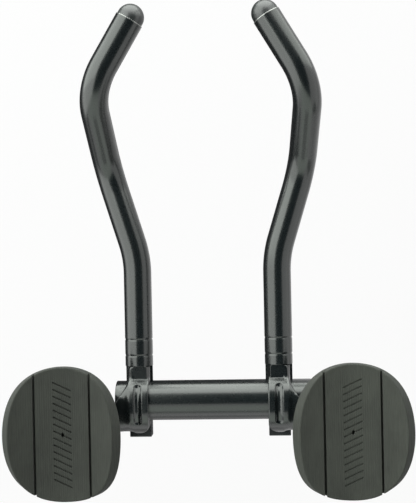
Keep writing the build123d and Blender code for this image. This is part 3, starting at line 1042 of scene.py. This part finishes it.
def pressed_slots_tree():
    """Tree that presses a row of round-ended slots into a piece."""
    tree, given = new_geometry_tree(
        "pressed_slots",
        {
            "Start": "Vector",
            "Step": "Vector",
            "Count": "Int",
            "Slant": "Float",
            "Slot length": "Float",
            "Slot width": "Float",
            "Cutter height": "Float",
            "Material": "Material",
        },
    )
    places = add_node(
        tree,
        "GeometryNodeMeshLine",
        {"Count": given["Count"], "Start Location": given["Start"], "Offset": given["Step"]},
    )
    box = add_node(
        tree,
        "GeometryNodeCurvePrimitiveQuadrilateral",
        {"Width": given["Slot length"], "Height": given["Slot width"]},
    )
    end_radius = add_node(tree, "ShaderNodeMath", {0: given["Slot width"], 1: 0.499}, operation="MULTIPLY")
    pill = add_node(
        tree, "GeometryNodeFilletCurve", {"Curve": box, "Count": 6, "Radius": end_radius}, mode="POLY"
    )
    flat = add_node(tree, "GeometryNodeFillCurve", {"Curve": pill}, mode="NGONS")
    underside = add_node(tree, "GeometryNodeFlipFaces", {"Mesh": flat})
    upwards = add_node(tree, "ShaderNodeCombineXYZ", {"Z": given["Cutter height"]})
    risen = add_node(
        tree,
        "GeometryNodeExtrudeMesh",
        {"Mesh": flat, "Offset": upwards, "Offset Scale": 1.0},
        mode="FACES",
    )
    closed = add_node(tree, "GeometryNodeJoinGeometry")
    tree.links.new(risen.outputs["Mesh"], closed.inputs["Geometry"])
    tree.links.new(underside.outputs["Mesh"], closed.inputs["Geometry"])
    cutter = add_node(tree, "GeometryNodeMergeByDistance", {"Geometry": closed, "Distance": 0.001 * MM})
    slant = add_node(tree, "ShaderNodeCombineXYZ", {"Z": given["Slant"]})
    turn = add_node(tree, "FunctionNodeEulerToRotation", {"Euler": slant})
    row = add_node(
        tree, "GeometryNodeInstanceOnPoints", {"Points": places, "Instance": cutter, "Rotation": turn}
    )
    cutters = add_node(tree, "GeometryNodeRealizeInstances", {"Geometry": row})
    pressed = add_node(
        tree,
        "GeometryNodeMeshBoolean",
        {"Mesh 1": given["Geometry"], "Mesh 2": cutters},
        operation="DIFFERENCE",
        solver="MANIFOLD",
    )
    finish_tree(tree, pressed, given["Material"])
    return tree


class AERO_OT_forearm_pads(bpy.types.Operator):
    """Mould the two foam pads that the forearms lie on"""

    bl_idname = "aero.forearm_pads"
    bl_label = "Forearm pads"

    def execute(self, context):
        sizes = context.scene.aero_pads
        foam = moulded_eva_foam(context.scene.aero_finishes.foam)
        tree = pressed_slots_tree()
        face_z = sizes.centre[2] - sizes.cup_radius
        row_start = sizes.centre[1] - (sizes.rib_count - 1) / 2 * sizes.rib_pitch
        for side, sign in SIDES:
            x = sign * sizes.centre[0]
            pad = new_piece(f"{side}_forearm_pad", pad_mesh(f"{side}_forearm_pad", sizes, sign))
            ribs = {
                "Start": (x, row_start, face_z - sizes.rib_depth),
                "Step": (0, sizes.rib_pitch, 0),
                "Count": sizes.rib_count,
                "Slant": sign * sizes.rib_slant,
                "Slot length": sizes.rib_length,
                "Slot width": sizes.rib_width,
            }
            vent = {
                "Start": (x, sizes.centre[1], face_z - sizes.vent_depth),
                "Step": (0, 0, 0),
                "Count": 1,
                "Slant": 0.0,
                "Slot length": sizes.vent_width,
                "Slot width": sizes.vent_length,
            }
            for slots in (ribs, vent):
                add_geometry_nodes(pad, tree, slots | {"Cutter height": sizes.thickness, "Material": foam})
            settle(pad)
            pad.data.set_sharp_from_angle(angle=math.radians(50))
            hand_over(pad, "charcoal_foam", f"{side}_armrest_pad")
        return {"FINISHED"}


def seen_directly(tree):
    """Number that is 1 for what camera, mirror-like and clear surfaces see, and 0 for soft light."""
    path = add_node(tree, "ShaderNodeLightPath").outputs
    mirrored = add_node(
        tree, "ShaderNodeMath", {0: path["Is Camera Ray"], 1: path["Is Glossy Ray"]}, operation="MAXIMUM"
    )
    return add_node(
        tree, "ShaderNodeMath", {0: mirrored, 1: path["Is Transmission Ray"]}, operation="MAXIMUM"
    )


def white_world(ambient):
    """White background, with a plain soft light from all round."""
    world = bpy.data.worlds.new("studio_white")
    world.use_nodes = True
    tree = world.node_tree
    tree.nodes.clear()
    soft = add_node(tree, "ShaderNodeBackground", {"Color": (1, 1, 1, 1), "Strength": ambient})
    white = add_node(tree, "ShaderNodeBackground", {"Color": (1, 1, 1, 1), "Strength": 1.0})
    both = add_node(tree, "ShaderNodeMixShader", {0: seen_directly(tree), 1: soft, 2: white})
    add_node(tree, "ShaderNodeOutputWorld", {"Surface": both})
    return world


def floor_paper(base):
    """White paper sweep: matt, and almost as bright as the background, so that only shadows show."""
    material, tree = new_material("floor_paper")
    paper = add_node(tree, "ShaderNodeBsdfDiffuse", {"Color": rgba(base)})
    glow = add_node(tree, "ShaderNodeEmission", {"Color": (1, 1, 1, 1), "Strength": 1.0})
    share = add_node(tree, "ShaderNodeMath", {0: seen_directly(tree), 1: 0.88}, operation="MULTIPLY")
    both = add_node(tree, "ShaderNodeMixShader", {0: share, 1: paper, 2: glow})
    add_node(tree, "ShaderNodeOutputMaterial", {"Surface": both})
    return material


def studio_card(name, tint, brightness):
    """Card of an even brightness that hangs or lies out of sight and shows only in the gloss."""
    material, tree = new_material(name)
    card = add_node(tree, "ShaderNodeEmission", {"Color": rgba(linear(tint)), "Strength": brightness})
    add_node(tree, "ShaderNodeOutputMaterial", {"Surface": card})
    return material


def lying(left, right, rear, front, level):
    """Corners of a level board."""
    return [(left, rear, level), (right, rear, level), (right, front, level), (left, front, level)]


def standing(start, end, foot, top):
    """Corners of an upright board over the line from start to end."""
    return [(*start, foot), (*end, foot), (*end, top), (*start, top)]


def stage_board(name, corners, material):
    """A flat board of the stage."""
    mesh = bpy.data.meshes.new(name)
    mesh.from_pydata(corners, [], [range(len(corners))])
    mesh.materials.append(material)
    board = new_piece(name, mesh)
    return board


def area_lamp(name, place, towards, width, height, watts, tint):
    """A rectangular soft lamp that the camera doesn't see."""
    data = bpy.data.lights.new(name, "AREA")
    data.shape = "RECTANGLE"
    data.size = width
    data.size_y = height
    data.energy = watts
    data.color = tint
    lamp = bpy.data.objects.new(name, data)
    bpy.context.scene.collection.objects.link(lamp)
    lamp.location = place
    lamp.rotation_euler = (Vector(towards) - Vector(place)).to_track_quat("-Z", "Y").to_euler()
    lamp.visible_camera = False
    return lamp


class AERO_OT_stage(bpy.types.Operator):
    """Set up camera, lamps, floor and background"""

    bl_idname = "aero.stage"
    bl_label = "Stage"

    def execute(self, context):
        scene = context.scene
        stage = scene.aero_stage
        scene.view_settings.view_transform = "Standard"
        scene.world = white_world(stage.ambient)
        level = -stage.floor_drop
        stage_board("floor", lying(-2.5, 2.5, -2.5, 2.5, level), floor_paper(scene.aero_finishes.floor))
        # Cards that only the gloss sees: a dim one sloping overhead for the dark streaks, grey and black
        # ones on the floor, which keep the rims of the tubes from turning white, bright ones round the
        # front and at the back, and dark stripes at the back, which show as streaks where the tubes rise.
        white = "#F8FCF8"
        overhead = ((-0.3, -0.265), (0.335, -0.113), (0.335, 0.5), (0.09, 0.451), (-0.2, 0.633))
        leaning = [(-1.0, 0.25, -0.06), (-0.58, 1.05, -0.06), (-0.2, 0.85, 1.2), (-0.55, 0.15, 1.2)]
        slanted = [(1.1, -1.2, 0.18), (2.4, -1.2, -0.45), (2.4, -1.2, 0.6), (1.1, -1.2, 0.6)]
        cards = (
            ("overhead_card", [(x, y, 0.6 - 0.74 * x) for x, y in overhead], "#D0ECF6", 0.08),
            ("grey_card", lying(0.05, 2.4, -2.4, 2.4, level + 0.005), "#FFFFFF", 0.65),
            ("rear_grey_card", lying(-2.4, 0.05, -2.4, -0.28, level + 0.005), "#FFFFFF", 0.4),
            ("black_card", lying(-1.6, 0.05, -0.28, 2.4, level + 0.01), "#FFFFFF", 0.06),
            ("front_card", standing((-0.75, 1.18), (0.75, 1.18), -0.34, 0.55), white, 4.5),
            ("front_left_card", leaning, white, 3.3),
            ("rear_card", standing((-1.2, -1.2), (1.0, -1.2), 0.3, 2.2), "#F4FCF4", 1.3),
            ("rear_stripe", standing((-0.33, -1.19), (0.28, -1.19), 0.33, 0.6), white, 0.5),
            ("rear_left_stripe", standing((-1.8, -1.2), (-1.36, -1.2), level, 0.3), white, 0.2),
            ("rear_right_stripe", slanted, white, 0.3),
            ("front_right_card", standing((1.0, 0.62), (0.75, 1.05), -0.35, 1.3), white, 2.5),
        )
        for name, corners, tint, brightness in cards:
            card = stage_board(name, corners, studio_card(name, tint, brightness))
            card.visible_camera = False
            card.visible_diffuse = False
            card.visible_shadow = False
        tint = linear(white)
        area_lamp("front_softbox", (0, 1.2, 0.37), (0, 0, 0.37), 1.5, 1.5, stage.front_lamp, tint)
        area_lamp("left_softbox", (-0.88, 0.1, 0.62), (0, 0.1, 0), 1.4, 1.7, stage.left_lamp, tint)
        # The fill lifts the right-hand pad and leaves no streak in the gloss. Its grid keeps its light off
        # the left-hand pad.
        place, towards = (-0.12, -0.03, 0.45), (0.15, -0.02, 0.05)
        fill = area_lamp("grid_fill", place, towards, 0.1, 0.1, stage.fill_lamp, tint)
        fill.data.spread = math.radians(60)
        fill.visible_glossy = False
        eye = bpy.data.objects.new("camera", bpy.data.cameras.new("camera"))
        scene.collection.objects.link(eye)
        eye.data.sensor_fit = "VERTICAL"
        eye.data.sensor_height = 36
        eye.data.lens = stage.lens
        forward = (Vector(stage.target) - Vector(stage.camera)).normalized()
        right = forward.cross(Vector((0, 1, 0))).normalized()
        up = right.cross(forward)
        turned = Matrix((right, up, -forward)).transposed() @ Matrix.Rotation(stage.roll, 3, "Z")
        eye.matrix_world = Matrix.Translation(stage.camera) @ turned.to_4x4()
        scene.camera = eye
        return {"FINISHED"}


class AERO_PT_panel(bpy.types.Panel):
    """Lists the pieces in the order they are made"""

    bl_idname = "AERO_PT_panel"
    bl_label = "Aero handlebar extension"
    bl_space_type = "VIEW_3D"
    bl_region_type = "UI"
    bl_category = "Aero bar"

    def draw(self, context):
        for operator in OPERATORS:
            self.layout.operator(operator.bl_idname)


SETTINGS = {
    "aero_tubes": TubeSizes,
    "aero_clamps": ClampSizes,
    "aero_screws": ScrewSizes,
    "aero_pads": PadSizes,
    "aero_finishes": Finishes,
    "aero_stage": StageSettings,
}
OPERATORS = (
    AERO_OT_cross_bar,
    AERO_OT_extension_tubes,
    AERO_OT_end_plugs,
    AERO_OT_clamps,
    AERO_OT_fasteners,
    AERO_OT_rest_trays,
    AERO_OT_forearm_pads,
    AERO_OT_stage,
)


def register():
    """Register the classes and hang their settings on the scene."""
    for settings in SETTINGS.values():
        bpy.utils.register_class(settings)
    for name, settings in SETTINGS.items():
        setattr(bpy.types.Scene, name, bpy.props.PointerProperty(type=settings))
    for operator in OPERATORS:
        bpy.utils.register_class(operator)
    bpy.utils.register_class(AERO_PT_panel)


def unregister():
    """Take the classes and settings away again."""
    bpy.utils.unregister_class(AERO_PT_panel)
    for operator in reversed(OPERATORS):
        bpy.utils.unregister_class(operator)
    for name, settings in SETTINGS.items():
        delattr(bpy.types.Scene, name)
        bpy.utils.unregister_class(settings)


def main():
    """Make every piece in order."""
    register()
    for operator in OPERATORS:
        name = operator.bl_idname.split(".")[1]
        getattr(bpy.ops.aero, name)()


if __name__ == "__main__":
    main()
